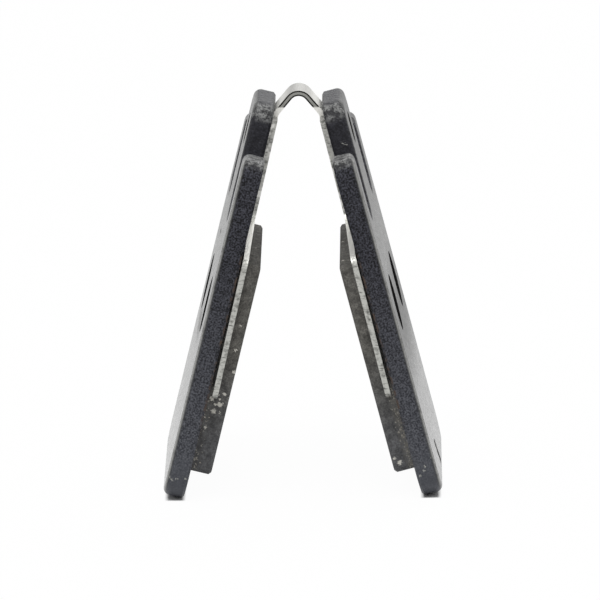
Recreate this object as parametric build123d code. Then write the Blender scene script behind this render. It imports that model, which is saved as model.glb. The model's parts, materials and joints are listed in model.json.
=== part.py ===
from build123d import *
import math
import os

# A sprung pair of disc brake pads, standing on the pads' bottom edges with the spring's arch on top.
# Origin: on the ground below the middle of the arch. X runs from pad to pad, Y across the pads, Z up.
# Each pad is drawn flat and then leant: U across it from its centre line, V up from its bottom edge,
# N out through the backing plate from the face that carries the friction block. Millimetres, degrees.

# Stance: how far the pads lean outwards, and how much less the spring's legs do
PAD_LEAN = 14.2
LEG_RELIEF = 0.75

# Backing plate
PLATE_WIDTH = 24.0
PLATE_THICKNESS = 1.8
EAR_HEIGHT = 29.45
LUG_WIDTH = 9.2
LUG_RISE = 3.55
SLOT_WIDTH = 3.2
SLOT_DEPTH = 6.0
FOOT_CORNER_RADIUS = 2.6
EAR_CORNER_RADIUS = 1.2
EAR_LEAD_IN = 0.9
LUG_CORNER_RADIUS = 1.9
DIE_ROLL_RADIUS = 0.6
INNER_EDGE_CHAMFER = 0.2

# Holes through the plate
PIN_BORE_DIAMETER = 2.7
PIN_BELOW_LUG_TOP = 3.0
ANCHOR_DIAMETER = 4.7
ANCHOR_SPACING = 10.4
ANCHOR_HEIGHT = 15.6

# Friction block
FRICTION_WIDTH = 19.4
FRICTION_HEIGHT = 18.1
FRICTION_THICKNESS = 1.78
FRICTION_ABOVE_FOOT = 2.4
FRICTION_CORNER_CUT = 0.4
ROTOR_EDGE_CHAMFER = 0.2
PLUG_CLEARANCE = 0.02
PLUG_RECESS = 0.8

# Return spring
SPRING_THICKNESS = 0.45
ARCH_WIDTH = 3.8
ARCH_SLOPE = 50
ARCH_BEND_RADIUS = 1.0
BEND_HALF_SPAN = 2.14
BEND_BELOW_LUG_TOP = 1.0
LEG_WIDTH = 7.0
SHOULDER_BELOW_BEND = 0.25
PIN_HOLE_CLEARANCE = 0.3
FORK_CLEARANCE = 0.3
BAR_HEIGHT_AT_LEG = 2.5
BAR_HEIGHT_AT_ARM = 0.4
ARM_WIDTH = 1.6
ARM_LENGTH = 10.9
FORK_CORNER_RADIUS = 0.9
FORK_OPENING_RADIUS = 0.9
LEG_ROOT_RADIUS = 0.8

# Heights up the pad that follow from the sizes above
LUG_HEIGHT = EAR_HEIGHT + LUG_RISE
PIN_HEIGHT = LUG_HEIGHT - PIN_BELOW_LUG_TOP
FRICTION_TOP = FRICTION_ABOVE_FOOT + FRICTION_HEIGHT
BEND_HEIGHT = LUG_HEIGHT - BEND_BELOW_LUG_TOP
BAR_FOOT = FRICTION_TOP + FORK_CLEARANCE

# Where the plates' inner planes meet the ground, and the line along each plate that the spring's bend touches
LEAN_SIN = math.sin(math.radians(PAD_LEAN))
LEAN_COS = math.cos(math.radians(PAD_LEAN))
EDGE_STANDOFF = INNER_EDGE_CHAMFER * LEAN_SIN
FOOT_OFFSET = BEND_HALF_SPAN + BEND_HEIGHT * LEAN_SIN
BEND_Z = BEND_HEIGHT * LEAN_COS - EDGE_STANDOFF

RIGHT_PAD = Plane(
    origin=(FOOT_OFFSET, 0, -EDGE_STANDOFF),
    x_dir=(0, 1, 0),
    z_dir=(LEAN_COS, 0, LEAN_SIN),
)

# The right leg's plane, which meets the plate's at the bend and so clears the plate towards its foot
LEG_SIN = math.sin(math.radians(PAD_LEAN - LEG_RELIEF))
LEG_COS = math.cos(math.radians(PAD_LEAN - LEG_RELIEF))
RIGHT_LEG = Plane(
    origin=(BEND_HALF_SPAN + BEND_HEIGHT * LEG_SIN, 0, BEND_Z - BEND_HEIGHT * LEG_COS),
    x_dir=(0, 1, 0),
    z_dir=(LEG_COS, 0, LEG_SIN),
)

HALF_TURN = Rot(0, 0, 180)
FROM_FOOT = (Align.CENTER, Align.MIN)
FROM_INNER_FACE = (Align.CENTER, Align.CENTER, Align.MIN)


def corners_at(sketch, height, reach=None):
    """Corners of a flat pattern at one height up the pad and, if given, one reach from its centre line."""
    corners = [corner for corner in sketch.vertices() if math.isclose(corner.Y, height, abs_tol=1e-6)]
    if reach is None:
        return corners
    return [corner for corner in corners if math.isclose(abs(corner.X), reach, abs_tol=1e-6)]


def plate_outline():
    """Flat pattern of the backing plate: two ears with a taller pin lug between two round-floored slots."""
    slot_radius = SLOT_WIDTH / 2
    slot_centre = (LUG_WIDTH + SLOT_WIDTH) / 2
    floor_centre = EAR_HEIGHT - SLOT_DEPTH + slot_radius
    slot = Circle(slot_radius) + Rectangle(SLOT_WIDTH, SLOT_DEPTH, align=FROM_FOOT)
    outline = Rectangle(PLATE_WIDTH, EAR_HEIGHT, align=FROM_FOOT)
    for side in (-1, 1):
        outline -= Pos(side * slot_centre, floor_centre) * slot
    outline += Rectangle(LUG_WIDTH, LUG_HEIGHT, align=FROM_FOOT)
    outline = fillet(corners_at(outline, 0), FOOT_CORNER_RADIUS)
    outline = fillet(corners_at(outline, EAR_HEIGHT, PLATE_WIDTH / 2), EAR_CORNER_RADIUS)
    outline = chamfer(corners_at(outline, EAR_HEIGHT, LUG_WIDTH / 2 + SLOT_WIDTH), EAR_LEAD_IN)
    return fillet(corners_at(outline, LUG_HEIGHT), LUG_CORNER_RADIUS)


def backing_plate():
    """Stamped plate with a die-rolled outer rim, the pin bore in its lug and two anchor holes."""
    plate = extrude(plate_outline(), amount=PLATE_THICKNESS)
    plate = fillet(plate.faces().sort_by(Axis.Z)[-1].outer_wire().edges(), DIE_ROLL_RADIUS)
    plate = chamfer(plate.faces().sort_by(Axis.Z)[0].outer_wire().edges(), INNER_EDGE_CHAMFER)
    plate -= Pos(0, PIN_HEIGHT) * Cylinder(PIN_BORE_DIAMETER / 2, PLATE_THICKNESS, align=FROM_INNER_FACE)
    anchor = Cylinder(ANCHOR_DIAMETER / 2, PLATE_THICKNESS, align=FROM_INNER_FACE)
    for side in (-1, 1):
        plate -= Pos(side * ANCHOR_SPACING / 2, ANCHOR_HEIGHT) * anchor
    return plate


def friction_block():
    """Moulded friction compound, keyed into the plate's anchor holes by two plugs."""
    outline = Pos(0, FRICTION_ABOVE_FOOT) * Rectangle(FRICTION_WIDTH, FRICTION_HEIGHT, align=FROM_FOOT)
    outline = chamfer(outline.vertices(), FRICTION_CORNER_CUT)
    block = extrude(outline, amount=-FRICTION_THICKNESS)
    block = chamfer(block.faces().sort_by(Axis.Z)[0].outer_wire().edges(), ROTOR_EDGE_CHAMFER)
    plug_radius = ANCHOR_DIAMETER / 2 - PLUG_CLEARANCE
    plug = Cylinder(plug_radius, PLATE_THICKNESS - PLUG_RECESS, align=FROM_INNER_FACE)
    for side in (-1, 1):
        block += Pos(side * ANCHOR_SPACING / 2, ANCHOR_HEIGHT) * plug
    return block


def fork_outline():
    """Flat pattern of one spring leg: a strap that widens into a bar, with an arm down each side."""
    half_leg = LEG_WIDTH / 2
    half_opening = FRICTION_WIDTH / 2 + FORK_CLEARANCE
    half_fork = half_opening + ARM_WIDTH
    root = BAR_FOOT + BAR_HEIGHT_AT_LEG
    shoulder = BAR_FOOT + BAR_HEIGHT_AT_ARM
    arm_end = BAR_FOOT - ARM_LENGTH
    top = BEND_HEIGHT - SHOULDER_BELOW_BEND
    right_side = [(half_leg, top), (half_leg, root), (half_fork, shoulder), (half_fork, arm_end)]
    left_side = [(-across, up) for across, up in reversed(right_side)]
    outline = make_face(Polyline(*right_side, *left_side, close=True))
    outline = fillet(corners_at(outline, root), LEG_ROOT_RADIUS)
    outline = fillet(corners_at(outline, shoulder), FORK_CORNER_RADIUS)
    opening = Pos(0, arm_end) * Rectangle(2 * half_opening, ARM_LENGTH, align=FROM_FOOT)
    outline -= fillet(corners_at(opening, BAR_FOOT), FORK_OPENING_RADIUS)
    for side in (-1, 1):
        outline += Pos(side * (half_opening + ARM_WIDTH / 2), arm_end) * Circle(ARM_WIDTH / 2)
    return outline


def arch():
    """The strap that bridges the two lugs: bent in from each leg, up a straight flank and over the crown."""
    bend_x = BEND_HALF_SPAN - SPRING_THICKNESS / 2 / LEG_COS
    root = SHOULDER_BELOW_BEND + SPRING_THICKNESS
    foot_x = bend_x + root * LEG_SIN
    foot_z = BEND_Z - root * LEG_COS
    crown_z = BEND_Z + bend_x * math.tan(math.radians(ARCH_SLOPE))
    corners = [(foot_x, foot_z), (bend_x, BEND_Z), (0, crown_z), (-bend_x, BEND_Z), (-foot_x, foot_z)]
    path = FilletPolyline(*corners, radius=ARCH_BEND_RADIUS)
    return extrude(Plane.XZ * trace(path, SPRING_THICKNESS), amount=ARCH_WIDTH / 2, both=True)


def return_spring():
    """One leaf: the arch with a forked leg, holed for the pin, down the inner face of each plate."""
    leg = RIGHT_LEG * extrude(fork_outline(), amount=-SPRING_THICKNESS)
    pin_hole = Cylinder(PIN_BORE_DIAMETER / 2 + PIN_HOLE_CLEARANCE, 4 * SPRING_THICKNESS)
    pin_hole = RIGHT_LEG * (Pos(0, PIN_HEIGHT) * pin_hole)
    spring = arch() + leg + HALF_TURN * leg
    return spring - pin_hole - HALF_TURN * pin_hole


def main():
    """Build each piece in place and write it out."""
    plate = RIGHT_PAD * backing_plate()
    block = RIGHT_PAD * friction_block()
    pieces = {
        "right_backing_plate": plate,
        "left_backing_plate": HALF_TURN * plate,
        "right_friction_block": block,
        "left_friction_block": HALF_TURN * block,
        "return_spring": return_spring(),
    }
    os.makedirs("parts", exist_ok=True)
    for node, piece in pieces.items():
        export_step(piece, f"parts/{node}.step")


main()
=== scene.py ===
import json
import logging
import math
from dataclasses import dataclass
from enum import Enum
from typing import Any, Sequence

import bmesh
import bpy
from mathutils import Euler, Matrix, Vector


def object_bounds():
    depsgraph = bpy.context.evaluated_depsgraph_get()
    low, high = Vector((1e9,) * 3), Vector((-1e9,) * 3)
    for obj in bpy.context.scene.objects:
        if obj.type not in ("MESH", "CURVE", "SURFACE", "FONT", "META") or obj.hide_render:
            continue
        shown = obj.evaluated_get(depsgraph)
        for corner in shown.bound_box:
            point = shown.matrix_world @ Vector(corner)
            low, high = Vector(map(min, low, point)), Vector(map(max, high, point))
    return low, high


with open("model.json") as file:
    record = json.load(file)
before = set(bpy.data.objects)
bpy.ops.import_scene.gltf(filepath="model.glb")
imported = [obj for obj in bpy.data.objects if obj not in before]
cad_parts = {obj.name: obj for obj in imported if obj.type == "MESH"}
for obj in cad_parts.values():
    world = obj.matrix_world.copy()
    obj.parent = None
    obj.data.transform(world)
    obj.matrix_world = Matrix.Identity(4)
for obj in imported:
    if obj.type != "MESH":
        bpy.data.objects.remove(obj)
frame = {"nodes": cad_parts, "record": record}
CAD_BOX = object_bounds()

LOG = logging.getLogger("brake_pads")
MM = 0.001
IMAGE_WIDTH = 600
MIDDLE = 0.5

Socket = bpy.types.NodeSocket
Colour = tuple[float, float, float]
Span = tuple[float, float]


class Side(Enum):
    """Which of the two pads a piece belongs to, with the sign of its X."""

    LEFT = -1
    RIGHT = 1

    @property
    def word(self) -> str:
        """The side's name as the CAD nodes spell it."""
        return self.name.lower()


@dataclass(frozen=True)
class PadFrame:
    """One pad's own axes: N out through the backing plate, U across the pad, V up it.

    Attributes:
        side: The pad that the axes belong to.
        lean: Angle in radians that the pad leans inwards from upright.
        inner: Distance of the plate's inner face from the origin, along N, in metres.
        foot: Distance of the plate's bottom edge from the origin, along V, in metres.
        thickness: The plate's thickness in metres.
        height: The plate's height from its bottom edge to its lug's top, in metres.
    """

    side: Side
    lean: float
    inner: float
    foot: float
    thickness: float
    height: float

    @classmethod
    def measure(cls, side: Side) -> "PadFrame":
        """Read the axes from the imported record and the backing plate's node.

        Args:
            side: The pad to measure.

        Returns:
            The pad's axes.
        """
        mounts = {mount["name"]: mount for mount in frame["record"]["mounts"]}
        out = Vector(mounts[f"{side.word}_piston_face"]["axis"]).normalized()
        up = Vector((-side.value * out.z, 0.0, abs(out.x)))
        corners = [vertex.co for vertex in frame["nodes"][f"{side.word}_backing_plate"].data.vertices]
        depths = [corner.dot(out) for corner in corners]
        heights = [corner.dot(up) for corner in corners]
        return cls(side, math.asin(out.z), min(depths), min(heights),
                   max(depths) - min(depths), max(heights) - min(heights))

    def turn(self) -> float:
        """Angle about Y that turns the row's axes onto this pad's."""
        return self.side.value * self.lean


class ShaderGraph:
    """A material's node tree, with short calls for the nodes that the finishes share."""

    def __init__(self, name: str) -> None:
        """Make the material with a Principled shader on its output.

        Args:
            name: The material's name.
        """
        self.material = bpy.data.materials.new(name)
        self.material.use_nodes = True
        self.tree = self.material.node_tree
        self.shader = self.tree.nodes["Principled BSDF"]

    def add(self, kind: str, inputs: dict[Any, Any] | None = None, **settings: Any) -> bpy.types.Node:
        """Add a node.

        Args:
            kind: The node's Blender type.
            inputs: Socket name or index to a constant, or to the output socket that feeds it.
            **settings: Properties of the node itself.

        Returns:
            The new node.
        """
        node = self.tree.nodes.new(kind)
        for name, value in settings.items():
            setattr(node, name, value)
        for socket, value in (inputs or {}).items():
            if isinstance(value, Socket):
                self.tree.links.new(value, node.inputs[socket])
            else:
                node.inputs[socket].default_value = value
        return node

    def feed(self, socket: str, value: Any) -> None:
        """Set or link one input of the Principled shader.

        Args:
            socket: The input's name.
            value: A constant, or the output socket that feeds it.
        """
        if isinstance(value, Socket):
            self.tree.links.new(value, self.shader.inputs[socket])
        else:
            self.shader.inputs[socket].default_value = value

    def place(self, pad: PadFrame | None = None) -> Socket:
        """Object coordinates, turned onto a pad's axes where one is given.

        Args:
            pad: The pad whose N, U and V the coordinates become, from the plate's inner foot.

        Returns:
            The vector socket, in metres.
        """
        coordinates = self.add("ShaderNodeTexCoord").outputs["Object"]
        if pad is None:
            return coordinates
        shift = (-pad.side.value * pad.inner, 0.0, -pad.foot)
        turned = self.add("ShaderNodeMapping", {"Vector": coordinates, "Rotation": (0.0, pad.turn(), 0.0),
                                                "Location": shift})
        return turned.outputs["Vector"]

    def on_pad(self, pad: PadFrame) -> "PadPlace":
        """Where the shaded point is on a pad.

        Args:
            pad: The pad whose axes it is measured on.

        Returns:
            Its coordinates, together and apart.
        """
        whole = self.place(pad)
        sideways, across, height = self.split(whole)
        depth = self.compute("MULTIPLY", sideways, pad.side.value)
        return PadPlace(whole, depth, self.compute("ABSOLUTE", across), height)

    def stretch(self, vector: Socket, factors: Sequence[float]) -> Socket:
        """A place with its coordinates multiplied, so that what is drawn there is drawn out."""
        return self.add("ShaderNodeMapping", {"Vector": vector, "Scale": factors}).outputs["Vector"]

    def split(self, vector: Socket) -> Sequence[Socket]:
        """A vector's three parts."""
        node = self.add("ShaderNodeSeparateXYZ", {"Vector": vector})
        return [node.outputs[axis] for axis in "XYZ"]

    def wander(self, where: Socket, size: float, reach: float) -> Socket:
        """Shift a place about by noise, so that what is drawn there has a ragged outline.

        Args:
            where: The place to shift.
            size: Width of the noise's lumps in metres.
            reach: How far a point may move, in metres.

        Returns:
            The shifted place.
        """
        noise = self.add("ShaderNodeTexNoise", {"Vector": where, "Scale": 1.0 / size, "Detail": 1.0})
        about = self.add("ShaderNodeVectorMath", {0: noise.outputs["Color"], 1: (MIDDLE, MIDDLE, MIDDLE)},
                         operation="SUBTRACT")
        shift = self.add("ShaderNodeVectorMath", {0: about.outputs["Vector"], "Scale": reach / MIDDLE},
                         operation="SCALE")
        moved = self.add("ShaderNodeVectorMath", {0: where, 1: shift.outputs["Vector"]}, operation="ADD")
        return moved.outputs["Vector"]

    def spots(self, where: Socket, pad: PadFrame, chips: Sequence["Chip"]) -> Socket:
        """One inside any of a pad's chips, and zero outside them.

        Args:
            where: The pad's coordinates.
            pad: The pad that the chips are on.
            chips: The chips, at least one.

        Returns:
            The share's socket.
        """
        total = None
        for chip in chips:
            middle = (pad.side.value * chip.depth, chip.across, chip.height)
            reach = self.add("ShaderNodeVectorMath", {0: where, 1: middle}, operation="DISTANCE")
            share = self.remap(reach.outputs["Value"], chip.radius, chip.soft * chip.radius)
            total = share if total is None else self.compute("MAXIMUM", total, share)
        return total

    def flecks(self, where: Socket, cell: float, sizes: Span, density: Socket) -> Socket:
        """Scattered grains of mixed sizes.

        Args:
            where: The coordinates that the grains are set in.
            cell: Spacing of the places that a grain may take, in metres.
            sizes: Smallest and largest radius of a grain, as shares of the spacing.
            density: Share of those places that have one.

        Returns:
            One inside a grain and zero outside.
        """
        cells = self.add("ShaderNodeTexVoronoi", {"Vector": where, "Scale": 1.0 / cell})
        size, chance, _ = self.split(cells.outputs["Color"])
        reach = self.remap(size, 0.0, 1.0, *sizes)
        inside = self.compute("LESS_THAN", cells.outputs["Distance"], reach)
        return self.product(inside, self.compute("LESS_THAN", chance, density))

    def noise(self, vector: Socket, size: float, detail: float = 3.0, roughness: float = 0.5) -> Socket:
        """Noise whose lumps are about one size across.

        Args:
            vector: Where the noise is read.
            size: Width of a lump in metres.
            detail: Octaves of finer noise.
            roughness: Weight of the finer octaves.

        Returns:
            The noise value's socket, from 0 to 1.
        """
        node = self.add("ShaderNodeTexNoise", {"Vector": vector, "Scale": 1.0 / size, "Detail": detail,
                                               "Roughness": roughness})
        return node.outputs["Fac"]

    def remap(self, value: Socket, low: float, high: float, to_low: float = 0.0,
              to_high: float = 1.0) -> Socket:
        """Stretch a value's range to another, held at its ends.

        Args:
            value: The value.
            low: Where its range starts.
            high: Where its range ends.
            to_low: What it becomes at the start.
            to_high: What it becomes at the end.

        Returns:
            The new value's socket.
        """
        node = self.add("ShaderNodeMapRange", {"Value": value, "From Min": low, "From Max": high,
                                               "To Min": to_low, "To Max": to_high})
        return node.outputs["Result"]

    def compute(self, operation: str, first: Any, second: Any = 0.0) -> Socket:
        """One arithmetic step on two values."""
        return self.add("ShaderNodeMath", {0: first, 1: second}, operation=operation).outputs["Value"]

    def product(self, first: Socket, *others: Any) -> Socket:
        """Multiply values together.

        Args:
            first: The first value.
            *others: The rest, each a number or a socket.

        Returns:
            The product's socket.
        """
        for other in others:
            first = self.compute("MULTIPLY", first, other)
        return first

    def mix(self, share: Socket, first: Any, second: Any) -> Socket:
        """Blend two colours, each an RGB triple or a socket.

        Args:
            share: How much of the second colour there is.
            first: The colour where the share is zero.
            second: The colour where it is one.

        Returns:
            The blend's socket.
        """
        node = self.add("ShaderNodeMix", data_type="RGBA")
        self.tree.links.new(share, node.inputs["Factor"])
        for name, value in (("A", first), ("B", second)):
            socket = next(s for s in node.inputs if s.name == name and s.type == "RGBA")
            if isinstance(value, Socket):
                self.tree.links.new(value, socket)
            else:
                socket.default_value = (*value, 1.0)
        return next(s for s in node.outputs if s.type == "RGBA")

    def bump(self, height: Socket, distance: float, under: Socket | None = None) -> Socket:
        """Relief from a height map.

        Args:
            height: Height from 0 to 1.
            distance: Depth in metres that the range stands for.
            under: The normal that the relief is laid on, if any.

        Returns:
            The normal's socket.
        """
        node = self.add("ShaderNodeBump", {"Height": height, "Strength": 1.0, "Distance": distance})
        if under is not None:
            self.tree.links.new(under, node.inputs["Normal"])
        return node.outputs["Normal"]


@dataclass(frozen=True)
class PadPlace:
    """A shaded point's coordinates on one pad, in metres.

    Attributes:
        whole: All three of them, as a vector.
        depth: Place along N, from the plate's inner face.
        out: Distance from the pad's centre line.
        height: Place along V, from the plate's bottom edge.
    """

    whole: Socket
    depth: Socket
    out: Socket
    height: Socket


@dataclass(frozen=True)
class Chip:
    """A place where a surface has flaked, been scraped or gone dull, or where a fleck shows.

    Attributes:
        depth: Its middle along N, in metres from the plate's inner face.
        across: Its middle along U, in metres.
        height: Its middle along V, in metres from the plate's bottom edge.
        radius: Its radius, in metres.
        soft: Share of the radius inside which it is at its full strength.
    """

    depth: float
    across: float
    height: float
    radius: float
    soft: float = 0.7


@dataclass(frozen=True)
class CoatFinish:
    """Black coat on a stamped plate: pebbled on the cut edges, smoother on the pressed outer face.

    The coat is painted paler low down, standing in for light bounced up from the floor; it is lumpier and
    painted with pale highlights on the crests of the ears and the lug, and a highlight line is painted along
    the outer rim.
    Lengths are in metres. A span that is named after a noise is the part of its range that goes from none to
    all.
    """

    dark_colour: Colour = (0.002, 0.002, 0.003)
    light_colour: Colour = (0.060, 0.061, 0.076)
    dusty_dark: Colour = (0.032, 0.034, 0.042)
    dusty_light: Colour = (0.122, 0.127, 0.143)
    lug_colour: Colour = (0.018, 0.018, 0.022)
    rust_colour: Colour = (0.085, 0.060, 0.047)
    crest_dark: Colour = (0.026, 0.026, 0.028)
    crest_light: Colour = (0.252, 0.254, 0.250)
    face_dark: Colour = (0.017, 0.017, 0.016)
    face_light: Colour = (0.034, 0.034, 0.031)
    rubbed_colour: Colour = (0.360, 0.360, 0.345)
    hole_colour: Colour = (0.011, 0.011, 0.011)
    chip_colour: Colour = (0.340, 0.340, 0.320)
    specular: float = 0.16
    edge_roughness: float = 0.46
    crest_roughness: float = 0.30
    stain_dullness: float = 0.11
    face_spread: float = 0.07
    face_pebble: float = 0.05
    dust_top: float = 21.0 * MM
    dust_foot: float = 3.0 * MM
    calm_foot: Span = (1.6 * MM, 5.4 * MM)
    calm_share: float = 0.25
    ear_height: float = 29.45 * MM
    ear_reach: float = 7.0 * MM
    ear_crest: Span = (0.74 * MM, 0.26 * MM)
    lug_foot: float = 25.0 * MM
    lug_share: float = 0.75
    lug_crest: Span = (1.54 * MM, 0.95 * MM)
    lug_crest_share: float = 0.90
    lug_cap: Span = (0.22 * MM, 0.05 * MM)
    lug_cap_share: float = 0.10
    fade: float = 1.0 * MM
    rust_foot: float = 6.0 * MM
    rust_top: float = 22.0 * MM
    rust_fade: float = 2.0 * MM
    rust_depth: Span = (0.22 * MM, 0.10 * MM)
    rust_lumps: Span = (0.46, 0.60)
    roll: float = 0.34 * MM
    flat: Span = (0.05 * MM, 0.01 * MM)
    rim: float = 0.20 * MM
    rim_reach: Span = (10.2 * MM, 11.2 * MM)
    rim_lumps: Span = (0.30, 0.50)
    rim_least: float = 0.4
    slot_reach: Span = (3.9 * MM, 8.5 * MM)
    slot_foot: float = 22.6 * MM
    anchor_place: tuple[float, float] = (5.20 * MM, 15.60 * MM)
    anchor_reach: float = 2.40 * MM
    pebble: float = 0.150 * MM
    pebble_detail: float = 2.5
    pebble_depth: float = 0.090 * MM
    pebble_weight: float = 0.75
    shade_span: Span = (0.42, 0.60)
    lump: float = 0.50 * MM
    lump_depth: float = 0.200 * MM
    crest_lumps: Span = (0.41, 0.57)
    crest_pebbles: Span = (0.34, 0.52)
    mottle: float = 0.34 * MM
    mottle_roughness: float = 0.6
    mottle_colours: Span = (0.35, 0.65)
    mottle_wear: Span = (0.3, 0.7)
    wander: float = 0.20 * MM
    scrape_squeeze: float = 0.20
    scrape_lump: float = 0.60 * MM
    scrape_wander: float = 0.16 * MM

    def material(self, pad: PadFrame, wear: "Wear") -> bpy.types.Material:
        """Make the coat for one pad's plate.

        Args:
            pad: The pad that the plate belongs to.
            wear: Where the coat has flaked, been scraped or gone dull.

        Returns:
            The material.
        """
        graph = ShaderGraph(f"{pad.side.word}_black_coat")
        place = graph.on_pad(pad)
        pebbles = graph.noise(place.whole, self.pebble, detail=self.pebble_detail)
        lumps = graph.noise(place.whole, self.lump)
        mottle = graph.noise(place.whole, self.mottle, roughness=self.mottle_roughness)
        crest = self.crest(graph, pad, place)
        calm = graph.remap(place.height, *self.calm_foot, self.calm_share, 1.0)
        flat = graph.remap(place.depth, pad.thickness - self.flat[0], pad.thickness - self.flat[1])
        rolled = graph.remap(place.depth, pad.thickness - self.roll, pad.thickness - self.flat[0])
        off_slots = graph.remap(self.slots(graph, place), 0.0, 1.0, 1.0, 0.0)
        face = graph.compute("MAXIMUM", flat, graph.product(rolled, off_slots))
        coat = self.edge_coat(graph, place, crest, calm, pebbles, lumps)
        coat = graph.mix(self.rust(graph, place, lumps), coat, self.rust_colour)
        pressed = graph.mix(graph.remap(mottle, *self.mottle_colours), self.face_dark, self.face_light)
        coat = graph.mix(face, coat, pressed)
        # Painted highlight: a pale line along the rolled outer rim of the plate's two long sides, broken up
        # by the lumps.
        rim = graph.remap(place.depth, pad.thickness - self.rim, pad.thickness - self.flat[0])
        rim_highlight = graph.product(graph.compute("SUBTRACT", rim, flat), graph.remap(place.out, *self.rim_reach),
                               graph.remap(lumps, *self.rim_lumps, self.rim_least, 1.0))
        coat = graph.mix(rim_highlight, coat, self.rubbed_colour)
        holes = self.holes(graph, place)
        coat = graph.mix(holes, coat, self.hole_colour)
        bare = graph.spots(graph.wander(place.whole, self.pebble, self.wander), pad, wear.coat)
        graph.feed("Base Color", graph.mix(bare, coat, self.chip_colour))
        graph.feed("Specular IOR Level", self.specular)
        squeezed = graph.stretch(place.whole, (1.0, self.scrape_squeeze, 1.0))
        squeezed = graph.wander(squeezed, self.scrape_lump, self.scrape_wander)
        stains = graph.product(graph.spots(squeezed, pad, wear.stains), self.stain_dullness)
        sheen = graph.compute("ADD", graph.remap(place.height, 0.0, self.ear_height, *wear.sheen), stains)
        dull = graph.compute("MAXIMUM", holes, graph.spots(squeezed, pad, wear.scrapes))
        dull = graph.compute("MAXIMUM", self.polish(graph, face, crest, mottle, sheen), dull)
        graph.feed("Roughness", dull)
        edge = graph.product(graph.remap(face, 0.0, 1.0, 1.0, self.face_pebble), calm)
        relief = graph.bump(graph.product(lumps, edge), self.lump_depth)
        graph.feed("Normal", graph.bump(graph.product(pebbles, edge), self.pebble_depth, relief))
        return graph.material

    def crest(self, graph: ShaderGraph, pad: PadFrame, place: PadPlace) -> Socket:
        """One on the tops of the ears and the lug, less on the lug's flat top, and zero below them.

        Args:
            graph: The material's nodes.
            pad: The pad that the plate belongs to.
            place: The shaded point.

        Returns:
            The share's socket.
        """
        on_ear = graph.remap(place.out, self.ear_reach - self.fade, self.ear_reach)
        ear = graph.remap(place.height, *(self.ear_height - drop for drop in self.ear_crest))
        lug = graph.remap(place.height, *(pad.height - drop for drop in self.lug_crest), 0.0,
                          self.lug_crest_share)
        cap = graph.remap(place.height, *(pad.height - drop for drop in self.lug_cap), self.lug_crest_share,
                          self.lug_cap_share)
        lug = graph.compute("MINIMUM", lug, cap)
        return graph.compute("MAXIMUM", lug, graph.product(ear, on_ear))

    def edge_coat(self, graph: ShaderGraph, place: PadPlace, crest: Socket, calm: Socket, pebbles: Socket,
                  lumps: Socket) -> Socket:
        """Colour of the cut edges, painted paler towards the foot for bounce light, and with painted pale
        highlights on the crests.

        Args:
            graph: The material's nodes.
            place: The shaded point.
            crest: One on the tops of the ears and the lug.
            calm: Share of the pebbles that shows, least at the foot.
            pebbles: Height of the fine pebbles.
            lumps: Height of the coarse lumps.

        Returns:
            The colour's socket.
        """
        # Painted bounce light: the edges' colour turns paler towards the foot, standing in for light bounced
        # up from the floor.
        bounce_lit = graph.remap(place.height, self.dust_top, self.dust_foot)
        rough = graph.compute("ADD", graph.product(pebbles, self.pebble_weight),
                              graph.product(lumps, 1.0 - self.pebble_weight))
        shade = graph.compute("SUBTRACT", graph.remap(rough, *self.shade_span), MIDDLE)
        shade = graph.compute("ADD", graph.product(shade, calm), MIDDLE)
        coat = graph.mix(shade, graph.mix(bounce_lit, self.dark_colour, self.dusty_dark),
                         graph.mix(bounce_lit, self.light_colour, self.dusty_light))
        above = graph.remap(place.height, self.lug_foot, self.lug_foot + self.fade, 0.0, self.lug_share)
        on_lug = graph.product(graph.compute("LESS_THAN", place.out, self.ear_reach), above)
        coat = graph.mix(on_lug, coat, self.lug_colour)
        # Painted highlights: pale glints in a lumpy pattern on the crests, where the tops of the ears and the
        # lug catch the light.
        crest_glints = graph.product(graph.remap(lumps, *self.crest_lumps),
                                graph.remap(pebbles, *self.crest_pebbles))
        return graph.mix(crest, coat, graph.mix(crest_glints, self.crest_dark, self.crest_light))

    def rust(self, graph: ShaderGraph, place: PadPlace, lumps: Socket) -> Socket:
        """One in the patches of a thin rusty line up the plate's inner corner, and zero elsewhere.

        Args:
            graph: The material's nodes.
            place: The shaded point.
            lumps: Height of the coarse lumps.

        Returns:
            The share's socket.
        """
        corner = graph.remap(place.depth, *self.rust_depth)
        above = graph.remap(place.height, self.rust_foot, self.rust_foot + self.rust_fade)
        below = graph.compute("LESS_THAN", place.height, self.rust_top)
        return graph.product(corner, graph.remap(lumps, *self.rust_lumps), above, below)

    def slots(self, graph: ShaderGraph, place: PadPlace) -> Socket:
        """One round the two slots beside the lug, whose rolled rims keep the edges' coat, and zero elsewhere.

        Args:
            graph: The material's nodes.
            place: The shaded point.

        Returns:
            The share's socket.
        """
        return graph.product(graph.compute("GREATER_THAN", place.out, self.slot_reach[0]),
                             graph.compute("LESS_THAN", place.out, self.slot_reach[1]),
                             graph.compute("GREATER_THAN", place.height, self.slot_foot))

    def holes(self, graph: ShaderGraph, place: PadPlace) -> Socket:
        """One inside the anchor holes, where the coat is thin and dull, and zero outside.

        Args:
            graph: The material's nodes.
            place: The shaded point.

        Returns:
            The share's socket.
        """
        flattened = graph.add("ShaderNodeVectorMath", {0: place.whole, 1: (0.0, 1.0, 1.0)},
                              operation="MULTIPLY")
        folded = graph.add("ShaderNodeVectorMath", {0: flattened.outputs["Vector"]}, operation="ABSOLUTE")
        reach = graph.add("ShaderNodeVectorMath", {0: folded.outputs["Vector"], 1: (0.0, *self.anchor_place)},
                          operation="DISTANCE")
        return graph.compute("LESS_THAN", reach.outputs["Value"], self.anchor_reach)

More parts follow.
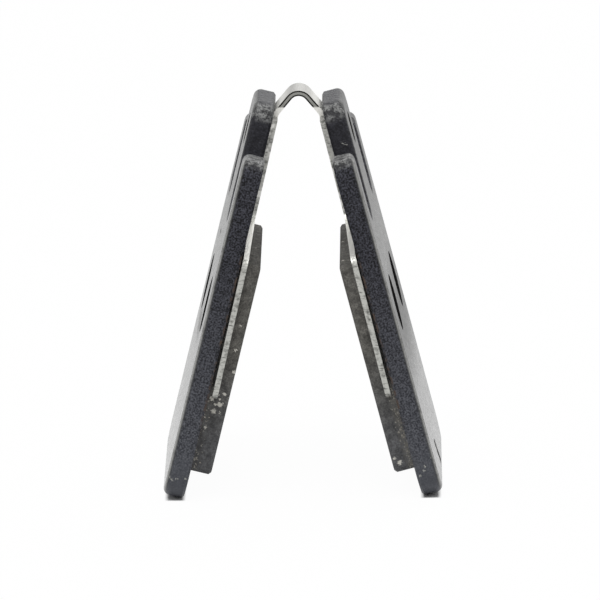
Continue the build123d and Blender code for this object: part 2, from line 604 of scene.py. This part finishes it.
    def polish(self, graph: ShaderGraph, face: Socket, crest: Socket, mottle: Socket,
               sheen: Socket) -> Socket:
        """Roughness: dull on the edges, glossier on their crests, and smoother down the outer face.

        Args:
            graph: The material's nodes.
            face: One on the outer face.
            crest: One on the tops of the ears and the lug.
            mottle: Uneven wear of the face.
            sheen: Roughness of the outer face, before that wear.

        Returns:
            The roughness.
        """
        uneven = graph.remap(mottle, *self.mottle_wear, -self.face_spread, self.face_spread)
        smooth = graph.compute("ADD", sheen, uneven)
        edge = graph.remap(crest, 0.0, 1.0, self.edge_roughness, self.crest_roughness)
        change = graph.product(face, graph.compute("SUBTRACT", smooth, edge))
        return graph.compute("ADD", change, edge)


@dataclass(frozen=True)
class CompoundFinish:
    """Matte friction compound with pale metal flecks, browner and crumbly at the bond with the plate.

    Lengths are in metres, and depths are measured into the block from the bond.
    """

    dark_colour: Colour = (0.105, 0.100, 0.090)
    colour: Colour = (0.250, 0.241, 0.218)
    low_dark: Colour = (0.102, 0.103, 0.108)
    low_colour: Colour = (0.205, 0.207, 0.213)
    fleck_colour: Colour = (0.68, 0.66, 0.60)
    crumb_colour: Colour = (0.38, 0.362, 0.322)
    bloom_colour: Colour = (0.300, 0.285, 0.248)
    bond_colour: Colour = (0.112, 0.080, 0.064)
    speckle_colour: Colour = (0.030, 0.030, 0.030)
    roughness: float = 0.80
    specular: float = 0.25
    tone_top: float = 13.0 * MM
    tone_foot: float = 5.0 * MM
    lump: float = 0.60 * MM
    lump_detail: float = 4.0
    lump_roughness: float = 0.62
    lump_span: Span = (0.34, 0.68)
    grain: float = 0.13 * MM
    grain_roughness: float = 0.6
    grain_depth: float = 0.07 * MM
    speckle: float = 0.55
    speckle_grain: Span = (0.36, 0.64)
    bond: float = 0.16 * MM
    bond_share: float = 0.8
    bond_past: float = 0.032 * MM
    joint: Span = (0.78 * MM, 0.38 * MM)
    crowd_top: float = 10.0 * MM
    crowd_fade: float = 1.0 * MM
    bloom_grain: Span = (0.42, 0.58)
    crumb_cell: float = 0.19 * MM
    crumb_size: Span = (0.20, 0.48)
    crumb_wander: float = 0.10 * MM
    fleck_cell: float = 0.45 * MM
    fleck_size: Span = (0.12, 0.42)
    fleck_share: Span = (0.035, 0.38)
    fleck_wander: float = 0.16 * MM
    worn_depth: Span = (1.70 * MM, 1.55 * MM)
    worn_share: float = 0.3

    def material(self, pad: PadFrame, wear: "Wear") -> bpy.types.Material:
        """Make the compound for one pad's block.

        Args:
            pad: The pad that the block belongs to.
            wear: Where flecks and crumbs show in the block's sides.

        Returns:
            The material.
        """
        graph = ShaderGraph(f"{pad.side.word}_friction_compound")
        place = graph.on_pad(pad)
        lumps = graph.noise(place.whole, self.lump, detail=self.lump_detail, roughness=self.lump_roughness)
        grain = graph.noise(place.whole, self.grain, roughness=self.grain_roughness)
        low = graph.remap(place.height, self.tone_top, self.tone_foot)
        base = graph.mix(graph.remap(lumps, *self.lump_span), graph.mix(low, self.dark_colour, self.low_dark),
                         graph.mix(low, self.colour, self.low_colour))
        speckles = graph.remap(grain, *self.speckle_grain, 0.0, self.speckle)
        base = graph.mix(speckles, base, self.speckle_colour)
        bond = graph.product(graph.remap(place.depth, -self.bond, 0.0, 0.0, self.bond_share),
                             graph.compute("LESS_THAN", place.depth, self.bond_past))
        base = graph.mix(bond, base, self.bond_colour)
        crowd = graph.product(graph.remap(place.depth, *(-depth for depth in self.joint)),
                              graph.remap(place.height, self.crowd_top + self.crowd_fade, self.crowd_top))
        bloom = graph.product(crowd, graph.remap(grain, *self.bloom_grain, 0.0, wear.bloom))
        base = graph.mix(bloom, base, self.bloom_colour)
        broken = graph.wander(place.whole, self.grain, self.crumb_wander)
        crumbs = graph.flecks(broken, self.crumb_cell, self.crumb_size, graph.product(crowd, wear.crumbs))
        base = graph.mix(crumbs, base, self.crumb_colour)
        base = graph.mix(self.flecks(graph, pad, place, wear), base, self.fleck_colour)
        graph.feed("Base Color", base)
        graph.feed("Specular IOR Level", self.specular)
        graph.feed("Roughness", self.roughness)
        graph.feed("Normal", graph.bump(grain, self.grain_depth))
        return graph.material

    def flecks(self, graph: ShaderGraph, pad: PadFrame, place: PadPlace, wear: "Wear") -> Socket:
        """One in the block's metal flecks, less where the rotor wears them, and zero between them.

        Args:
            graph: The material's nodes.
            pad: The pad that the block belongs to.
            place: The shaded point.
            wear: Where the large flecks are, and where small ones crowd together.

        Returns:
            The share's socket.
        """
        ragged = graph.wander(place.whole, self.grain, self.fleck_wander)
        clusters = graph.spots(place.whole, pad, wear.clusters)
        small = graph.flecks(ragged, self.fleck_cell, self.fleck_size,
                             graph.remap(clusters, 0.0, 1.0, *self.fleck_share))
        left = graph.remap(place.depth, *(-depth for depth in self.worn_depth), self.worn_share, 1.0)
        return graph.compute("MAXIMUM", graph.product(small, left), graph.spots(ragged, pad, wear.block))


@dataclass(frozen=True)
class SpringFinish:
    """Rolled stainless strip: bright faces, and sheared edges that are greyer, striated and mottled.

    The arch's flanks are painted paler than its crown, standing in for a brighter reflection, and its edges
    are near-black, apart from a thin grey line along their middle. The sheared edges are also painted with
    highlights on their upturned shoulders, at the top of each leg and in patches down the legs. Lengths are
    in metres. The facing spans are of the normal's part along Y, which is one on the sheared edges.
    """

    face_colour: Colour = (0.355, 0.352, 0.338)
    flank_colour: Colour = (0.76, 0.755, 0.725)
    shoulder_colour: Colour = (0.74, 0.735, 0.70)
    edge_light: Colour = (0.50, 0.50, 0.47)
    edge_dark: Colour = (0.13, 0.13, 0.12)
    arch_edge: Colour = (0.020, 0.020, 0.018)
    arch_line: Colour = (0.30, 0.30, 0.28)
    root_colour: Colour = (0.85, 0.84, 0.80)
    face_roughness: float = 0.58
    edge_roughness: float = 0.45
    edge_facing: Span = (0.08, 0.20)
    shoulder_facing: Span = (0.70, 0.50)
    mottle: float = 0.45 * MM
    mottle_roughness: float = 0.6
    mottle_span: Span = (0.26, 0.50)
    stripe: float = 0.14 * MM
    stripe_stretch: tuple[float, float, float] = (0.3, 0.3, 1.0)
    stripe_span: Span = (0.28, 0.46)
    stripe_depth: float = 0.02 * MM
    patch: float = 1.10 * MM
    patch_detail: float = 2.0
    patch_span: Span = (0.52, 0.60)
    patch_fade: float = 1.0 * MM
    leg_foot: float = 21.5 * MM
    root_foot: float = 30.70 * MM
    arch_foot: float = 31.45 * MM
    flank_reach: Span = (0.60 * MM, 1.70 * MM)
    fade: float = 0.12 * MM
    thickness: float = 0.45 * MM
    crown_radius: float = 1.0 * MM
    slope: float = math.radians(50.0)
    line_share: float = 0.22

    def material(self) -> bpy.types.Material:
        """Make the spring's steel.

        Returns:
            The material.
        """
        graph = ShaderGraph("spring_steel")
        where = graph.place()
        sideways, _, height = graph.split(where)
        _, facing, _ = graph.split(graph.add("ShaderNodeTexCoord").outputs["Normal"])
        facing = graph.compute("ABSOLUTE", facing)
        edge = graph.remap(facing, *self.edge_facing)
        stripes = graph.noise(graph.stretch(where, self.stripe_stretch), self.stripe)
        mottle = graph.noise(where, self.mottle, roughness=self.mottle_roughness)
        worn = graph.product(graph.remap(mottle, *self.mottle_span), graph.remap(stripes, *self.stripe_span))
        sheared = graph.mix(worn, self.edge_dark, self.edge_light)
        # Painted highlights: near-white patches scattered down the legs' sheared edges.
        patches = graph.remap(graph.noise(where, self.patch, detail=self.patch_detail), *self.patch_span)
        patches = graph.product(patches, graph.remap(height, self.leg_foot, self.leg_foot + self.patch_fade))
        sheared = graph.mix(patches, sheared, self.root_colour)
        # Painted highlight: the slanted shoulders of the edges, which face upwards, are given a near-white
        # colour.
        sheared = graph.mix(graph.remap(facing, *self.shoulder_facing), sheared, self.shoulder_colour)
        # Painted highlight: the sheared edges at the top of each leg, below the arch, are near-white.
        root = graph.remap(height, self.root_foot, self.root_foot + self.fade)
        sheared = graph.mix(root, sheared, self.root_colour)
        arch = graph.remap(height, self.arch_foot, self.arch_foot + self.fade)
        line = graph.mix(self.middle(graph, sideways, height), self.arch_edge, self.arch_line)
        sheared = graph.mix(arch, sheared, line)
        # Painted reflection: the arch's flanks get a paler colour than its crown, standing in for a brighter
        # reflection.
        flank = graph.product(graph.remap(graph.compute("ABSOLUTE", sideways), *self.flank_reach), root)
        rolled = graph.mix(flank, self.face_colour, self.flank_colour)
        graph.feed("Base Color", graph.mix(edge, rolled, sheared))
        graph.feed("Metallic", 1.0)
        graph.feed("Roughness", graph.remap(edge, 0.0, 1.0, self.face_roughness, self.edge_roughness))
        graph.feed("Normal", graph.bump(stripes, self.stripe_depth))
        return graph.material

    def middle(self, graph: ShaderGraph, sideways: Socket, height: Socket) -> Socket:
        """One along the middle of the arch's edges, over its straight flanks and its round crown.

        Args:
            graph: The material's nodes.
            sideways: Place along X.
            height: Place along Z.

        Returns:
            The share's socket.
        """
        crown = CAD_BOX[1].z - self.thickness / 2 - self.crown_radius
        sine = math.sin(self.slope)
        cosine = math.cos(self.slope)
        out = graph.compute("ABSOLUTE", sideways)
        up = graph.compute("SUBTRACT", height, crown)
        squares = graph.compute("ADD", graph.product(out, out), graph.product(up, up))
        round_off = graph.compute("SQRT", squares)
        flank_off = graph.compute("ADD", graph.product(out, sine), graph.product(up, cosine))
        on_crown = graph.compute("LESS_THAN", graph.product(out, cosine), graph.product(up, sine))
        change = graph.product(on_crown, graph.compute("SUBTRACT", round_off, flank_off))
        off = graph.compute("SUBTRACT", graph.compute("ADD", flank_off, change), self.crown_radius)
        return graph.compute("LESS_THAN", graph.compute("ABSOLUTE", off), self.line_share * self.thickness)


def dress(node: str, material: bpy.types.Material) -> None:
    """Give a CAD node one material all over.

    Args:
        node: The node's name.
        material: The finish that it takes.
    """
    piece = frame["nodes"][node]
    piece.data.materials.clear()
    piece.data.materials.append(material)
    LOG.info("%s wears %s", node, material.name)


# The sides that the marks are on: four places along U, and the plate's outer face along N.
NEAR_EDGE = -12.0 * MM
NEAR_CORNER = -11.85 * MM
NEAR_LUG = -4.6 * MM
NEAR_BLOCK = -9.7 * MM
OUTER_FACE = 1.8 * MM


@dataclass(frozen=True)
class Wear:
    """One pad's marks.

    Scrapes and stains are long across the plate, so their places along U are in the coat's squeezed measure.

    Attributes:
        coat: Flakes in the plate's coat.
        scrapes: Scrapes on the plate's outer face.
        stains: Duller patches of the outer face.
        sheen: The outer face's roughness at its foot and at its ears.
        crumbs: Share of the places along the bond that hold a crumb.
        bloom: Strength of the pale bloom along the bond.
        block: Large flecks in the block.
        clusters: Where small flecks crowd together.
    """

    coat: tuple[Chip, ...]
    scrapes: tuple[Chip, ...]
    stains: tuple[Chip, ...]
    sheen: Span
    crumbs: float
    bloom: float
    block: tuple[Chip, ...]
    clusters: tuple[Chip, ...]


def scuff(start: Span, step: Span, count: int, radius: float, soft: float) -> tuple[Chip, ...]:
    """A row of scrapes on the outer face, so close that they make one scuff.

    Args:
        start: The first scrape's place along U and V, in metres.
        step: From each scrape to the next, along U and V, in metres.
        count: How many there are.
        radius: Their radius, in metres.
        soft: Share of the radius inside which they are at their full strength.

    Returns:
        The scrapes.
    """
    places = [(start[0] + index * step[0], start[1] + index * step[1]) for index in range(count)]
    return tuple(Chip(OUTER_FACE, across, height, radius, soft) for across, height in places)


WEAR = {
    Side.LEFT: Wear(
        coat=(
            Chip(1.56 * MM, NEAR_CORNER, 1.94 * MM, 0.09 * MM),
            Chip(1.58 * MM, NEAR_CORNER, 1.76 * MM, 0.08 * MM),
            Chip(1.55 * MM, NEAR_CORNER, 1.52 * MM, 0.09 * MM),
            Chip(1.38 * MM, NEAR_CORNER, 1.80 * MM, 0.10 * MM),
            Chip(1.26 * MM, NEAR_CORNER, 1.66 * MM, 0.10 * MM),
            Chip(0.98 * MM, NEAR_EDGE, 1.90 * MM, 0.13 * MM),
            Chip(0.23 * MM, NEAR_EDGE, 2.17 * MM, 0.11 * MM),
        ),
        scrapes=(
            Chip(OUTER_FACE, 0.6 * MM, 20.4 * MM, 0.22 * MM),
        ),
        stains=(
            Chip(OUTER_FACE, 0.0, 13.0 * MM, 1.5 * MM, soft=0.2),
        ),
        sheen=(0.135, 0.280),
        crumbs=0.70,
        bloom=0.12,
        block=(
            Chip(-0.75 * MM, NEAR_BLOCK, 7.77 * MM, 0.24 * MM),
            Chip(-1.10 * MM, NEAR_BLOCK, 8.46 * MM, 0.24 * MM),
            Chip(-0.78 * MM, NEAR_BLOCK, 8.38 * MM, 0.14 * MM),
            Chip(-0.42 * MM, NEAR_BLOCK, 6.29 * MM, 0.16 * MM),
            Chip(-1.69 * MM, NEAR_BLOCK, 11.39 * MM, 0.20 * MM),
            Chip(-1.25 * MM, NEAR_BLOCK, 15.38 * MM, 0.14 * MM),
        ),
        clusters=(
            Chip(-0.90 * MM, NEAR_BLOCK, 8.20 * MM, 1.90 * MM),
            Chip(-1.60 * MM, NEAR_BLOCK, 13.80 * MM, 1.40 * MM),
        ),
    ),
    Side.RIGHT: Wear(
        coat=(
            Chip(0.33 * MM, NEAR_EDGE, 2.12 * MM, 0.12 * MM),
            Chip(0.86 * MM, NEAR_EDGE, 2.82 * MM, 0.10 * MM),
            Chip(0.73 * MM, NEAR_EDGE, 2.50 * MM, 0.09 * MM),
            Chip(1.54 * MM, NEAR_EDGE, 3.43 * MM, 0.12 * MM),
            Chip(0.96 * MM, NEAR_LUG, 29.66 * MM, 0.07 * MM),
            Chip(1.04 * MM, NEAR_LUG, 29.57 * MM, 0.07 * MM),
            Chip(1.13 * MM, NEAR_LUG, 29.50 * MM, 0.07 * MM),
            Chip(1.22 * MM, NEAR_LUG, 29.45 * MM, 0.07 * MM),
            Chip(1.32 * MM, NEAR_LUG, 29.43 * MM, 0.07 * MM),
        ),
        scrapes=scuff(start=(-0.72 * MM, 3.0 * MM), step=(0.03 * MM, -0.17 * MM), count=13,
                      radius=0.25 * MM, soft=0.2),
        stains=(
            Chip(OUTER_FACE, 0.0, 13.4 * MM, 5.4 * MM, soft=0.25),
        ),
        sheen=(0.155, 0.335),
        crumbs=0.95,
        bloom=0.60,
        block=(
            Chip(-1.18 * MM, NEAR_BLOCK, 3.21 * MM, 0.22 * MM),
            Chip(-1.49 * MM, NEAR_BLOCK, 3.65 * MM, 0.12 * MM),
        ),
        clusters=(
            Chip(-0.40 * MM, NEAR_BLOCK, 9.60 * MM, 0.70 * MM),
        ),
    ),
}


@dataclass
class BrakePad:
    """One pad: the coated backing plate and the friction block bonded to it."""

    pad: PadFrame
    coat: CoatFinish
    compound: CompoundFinish

    def build(self) -> None:
        """Dress the plate and the block."""
        wear = WEAR[self.pad.side]
        dress(f"{self.pad.side.word}_backing_plate", self.coat.material(self.pad, wear))
        dress(f"{self.pad.side.word}_friction_block", self.compound.material(self.pad, wear))


@dataclass
class ReturnSpring:
    """The leaf spring that holds the pads apart."""

    finish: SpringFinish

    def build(self) -> None:
        """Dress the spring."""
        dress("return_spring", self.finish.material())


@dataclass
class Studio:
    """Pale floor, white surround and soft lamps."""

    floor_half: float = 1.5
    floor_colour: Colour = (0.86, 0.86, 0.86)
    floor_roughness: float = 0.9
    ambient: float = 0.40
    key_energy: float = 4.2
    key_size: float = 0.50
    key_place: tuple[float, float, float] = (-0.08, -0.30, 0.75)
    back_energy: float = 2.0
    back_size: float = 0.60
    back_place: tuple[float, float, float] = (0.15, 0.55, 0.55)
    white_share: float = 0.97
    contact_share: float = 0.0
    foot_middle: float = 10.65 * MM
    foot_reach: float = 0.55 * MM
    foot_length: float = 10.7 * MM
    contact_fade: float = 0.35 * MM

    def build(self) -> None:
        """Set the world, the floor and the lamps."""
        self.world()
        self.floor()
        self.lamp("key_lamp", self.key_place, self.key_size, self.key_energy)
        self.lamp("back_lamp", self.back_place, self.back_size, self.back_energy)

    @staticmethod
    def seen_directly(tree: bpy.types.NodeTree) -> Socket:
        """One for camera, glossy and transmission rays, and zero for the rays that carry light.

        Args:
            tree: The nodes that it is added to.

        Returns:
            The share's socket.
        """
        path = tree.nodes.new("ShaderNodeLightPath")
        total = path.outputs["Is Camera Ray"]
        for name in ("Is Glossy Ray", "Is Transmission Ray"):
            adder = tree.nodes.new("ShaderNodeMath")
            adder.operation = "MAXIMUM"
            tree.links.new(total, adder.inputs[0])
            tree.links.new(path.outputs[name], adder.inputs[1])
            total = adder.outputs["Value"]
        return total

    def world(self) -> None:
        """White where it is seen, and a plain soft light elsewhere."""
        world = bpy.data.worlds.new("white_surround")
        world.use_nodes = True
        tree = world.node_tree
        strength = tree.nodes.new("ShaderNodeMapRange")
        strength.inputs["To Min"].default_value = self.ambient
        strength.inputs["To Max"].default_value = 1.0
        tree.links.new(self.seen_directly(tree), strength.inputs["Value"])
        background = tree.nodes["Background"]
        background.inputs["Color"].default_value = (1.0, 1.0, 1.0, 1.0)
        tree.links.new(strength.outputs["Result"], background.inputs["Strength"])
        bpy.context.scene.world = world

    def floor(self) -> None:
        """A pale floor that shows white and keeps the part's shadow."""
        mesh = bpy.data.meshes.new("floor")
        shape = bmesh.new()
        bmesh.ops.create_grid(shape, x_segments=1, y_segments=1, size=self.floor_half)
        shape.to_mesh(mesh)
        shape.free()
        floor = bpy.data.objects.new("floor", mesh)
        bpy.context.scene.collection.objects.link(floor)
        graph = ShaderGraph("pale_floor")
        graph.feed("Base Color", (*self.floor_colour, 1.0))
        graph.feed("Roughness", self.floor_roughness)
        graph.feed("Specular IOR Level", 0.0)
        share = graph.product(self.seen_directly(graph.tree), self.whiteness(graph))
        white = graph.add("ShaderNodeEmission", {"Color": (1.0, 1.0, 1.0, 1.0), "Strength": 1.0})
        blend = graph.add("ShaderNodeMixShader", {0: share, 1: graph.shader.outputs["BSDF"],
                                                  2: white.outputs["Emission"]})
        output = graph.tree.nodes["Material Output"]
        graph.tree.links.new(blend.outputs["Shader"], output.inputs["Surface"])
        mesh.materials.append(graph.material)

    def whiteness(self, graph: ShaderGraph) -> Socket:
        """How white the floor shows: nearly all over, and least below the feet, where the shadow is deepest.

        Args:
            graph: The floor's nodes.

        Returns:
            The share's socket.
        """
        sideways, across, _ = graph.split(graph.place())
        off = graph.compute("SUBTRACT", graph.compute("ABSOLUTE", sideways), self.foot_middle)
        beside = graph.remap(graph.compute("ABSOLUTE", off), self.foot_reach + self.contact_fade,
                             self.foot_reach)
        along = graph.remap(graph.compute("ABSOLUTE", across), self.foot_length + self.contact_fade,
                            self.foot_length)
        contact = graph.product(beside, along)
        return graph.remap(contact, 0.0, 1.0, self.white_share, self.contact_share)

    @staticmethod
    def lamp(name: str, place: Sequence[float], size: float, energy: float) -> None:
        """Hang a square soft lamp that points at the part.

        Args:
            name: The lamp's name.
            place: Where it hangs, in metres.
            size: Its side in metres.
            energy: Its power in watts.
        """
        data = bpy.data.lights.new(name, "AREA")
        data.energy = energy
        data.size = size
        lamp = bpy.data.objects.new(name, data)
        lamp.location = place
        target = (CAD_BOX[0] + CAD_BOX[1]) / 2
        lamp.rotation_euler = (target - Vector(place)).to_track_quat("-Z", "Y").to_euler()
        bpy.context.scene.collection.objects.link(lamp)


@dataclass(frozen=True)
class PhotoCamera:
    """A long lens a little above the part, as the photograph was taken.

    Attributes:
        distance: From the aimed point to the lens, in metres.
        elevation: Angle above the horizon, in radians.
        swing: Angle round the part towards its right pad, in radians.
        roll: Turn of the picture about the line of sight, in radians.
        aim: Height of the point in the middle of the picture, in metres.
        offset: Distance of that point from the part's middle, to the right, in metres.
        pixels_per_mm: Scale of the picture at the aimed point.
        sensor: Width of the sensor in millimetres.
        clip: The nearest and farthest that is drawn, as shares of the distance.
    """

    distance: float = 1.0
    elevation: float = 0.1913
    swing: float = 0.0092
    roll: float = -0.0137
    aim: float = 14.773 * MM
    offset: float = -0.123 * MM
    pixels_per_mm: float = 11.929
    sensor: float = 36.0
    clip: Span = (0.1, 10.0)

    def build(self) -> None:
        """Make the scene's camera."""
        data = bpy.data.cameras.new("photo_camera")
        data.sensor_width = self.sensor
        focal_pixels = self.pixels_per_mm * self.distance / MM
        data.lens = self.sensor * focal_pixels / IMAGE_WIDTH
        data.clip_start = self.clip[0] * self.distance
        data.clip_end = self.clip[1] * self.distance
        camera = bpy.data.objects.new("photo_camera", data)
        facing = Euler((math.pi / 2 - self.elevation, 0.0, self.swing)).to_matrix()
        target = Vector((self.offset, 0.0, self.aim))
        place = target + facing @ Vector((0.0, 0.0, self.distance))
        turn = facing @ Matrix.Rotation(self.roll, 3, "Z")
        camera.matrix_world = Matrix.Translation(place) @ turn.to_4x4()
        bpy.context.scene.collection.objects.link(camera)
        bpy.context.scene.camera = camera


def main() -> None:
    """Build the studio, the camera and the dressed part."""
    logging.basicConfig(level=logging.INFO)
    bpy.context.scene.view_settings.view_transform = "Standard"
    Studio().build()
    PhotoCamera().build()
    for side in Side:
        BrakePad(PadFrame.measure(side), CoatFinish(), CompoundFinish()).build()
    ReturnSpring(SpringFinish()).build()


if __name__ == "__main__":
    main()
